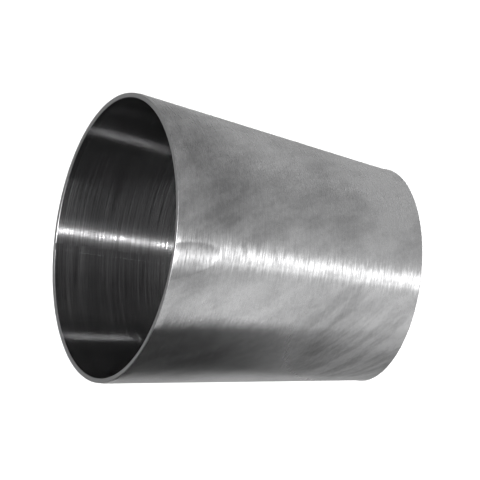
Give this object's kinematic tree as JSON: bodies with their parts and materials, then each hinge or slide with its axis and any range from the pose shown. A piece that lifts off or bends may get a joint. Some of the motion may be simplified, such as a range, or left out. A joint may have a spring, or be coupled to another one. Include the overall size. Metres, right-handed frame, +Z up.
{
  "type": "eccentric reducer",
  "caption": "Thin-wall stainless butt-weld reducer joining a larger tube to a smaller one, with one straight side so that the line drains.",
  "frame": {"origin": "centre of the large end's face", "axes": "+X along the pipe to the small end, +Z up, straight side of the body at the bottom, so the small bore's axis is lower than the large bore's"},
  "size_m": [0.108, 0.1016, 0.1016],
  "materials": {
    "brushed_shell": "hand-polished satin stainless steel, fine lines around the pipe, slightly wavy; smoother and darker inside",
    "weld_bead": "longitudinal weld ground flush outside, low rolled bead inside"
  },
  "bodies": {
    "root": {"reducer_shell": "brushed_shell", "seam_weld": "weld_bead"}
  },
  "joints": []
}
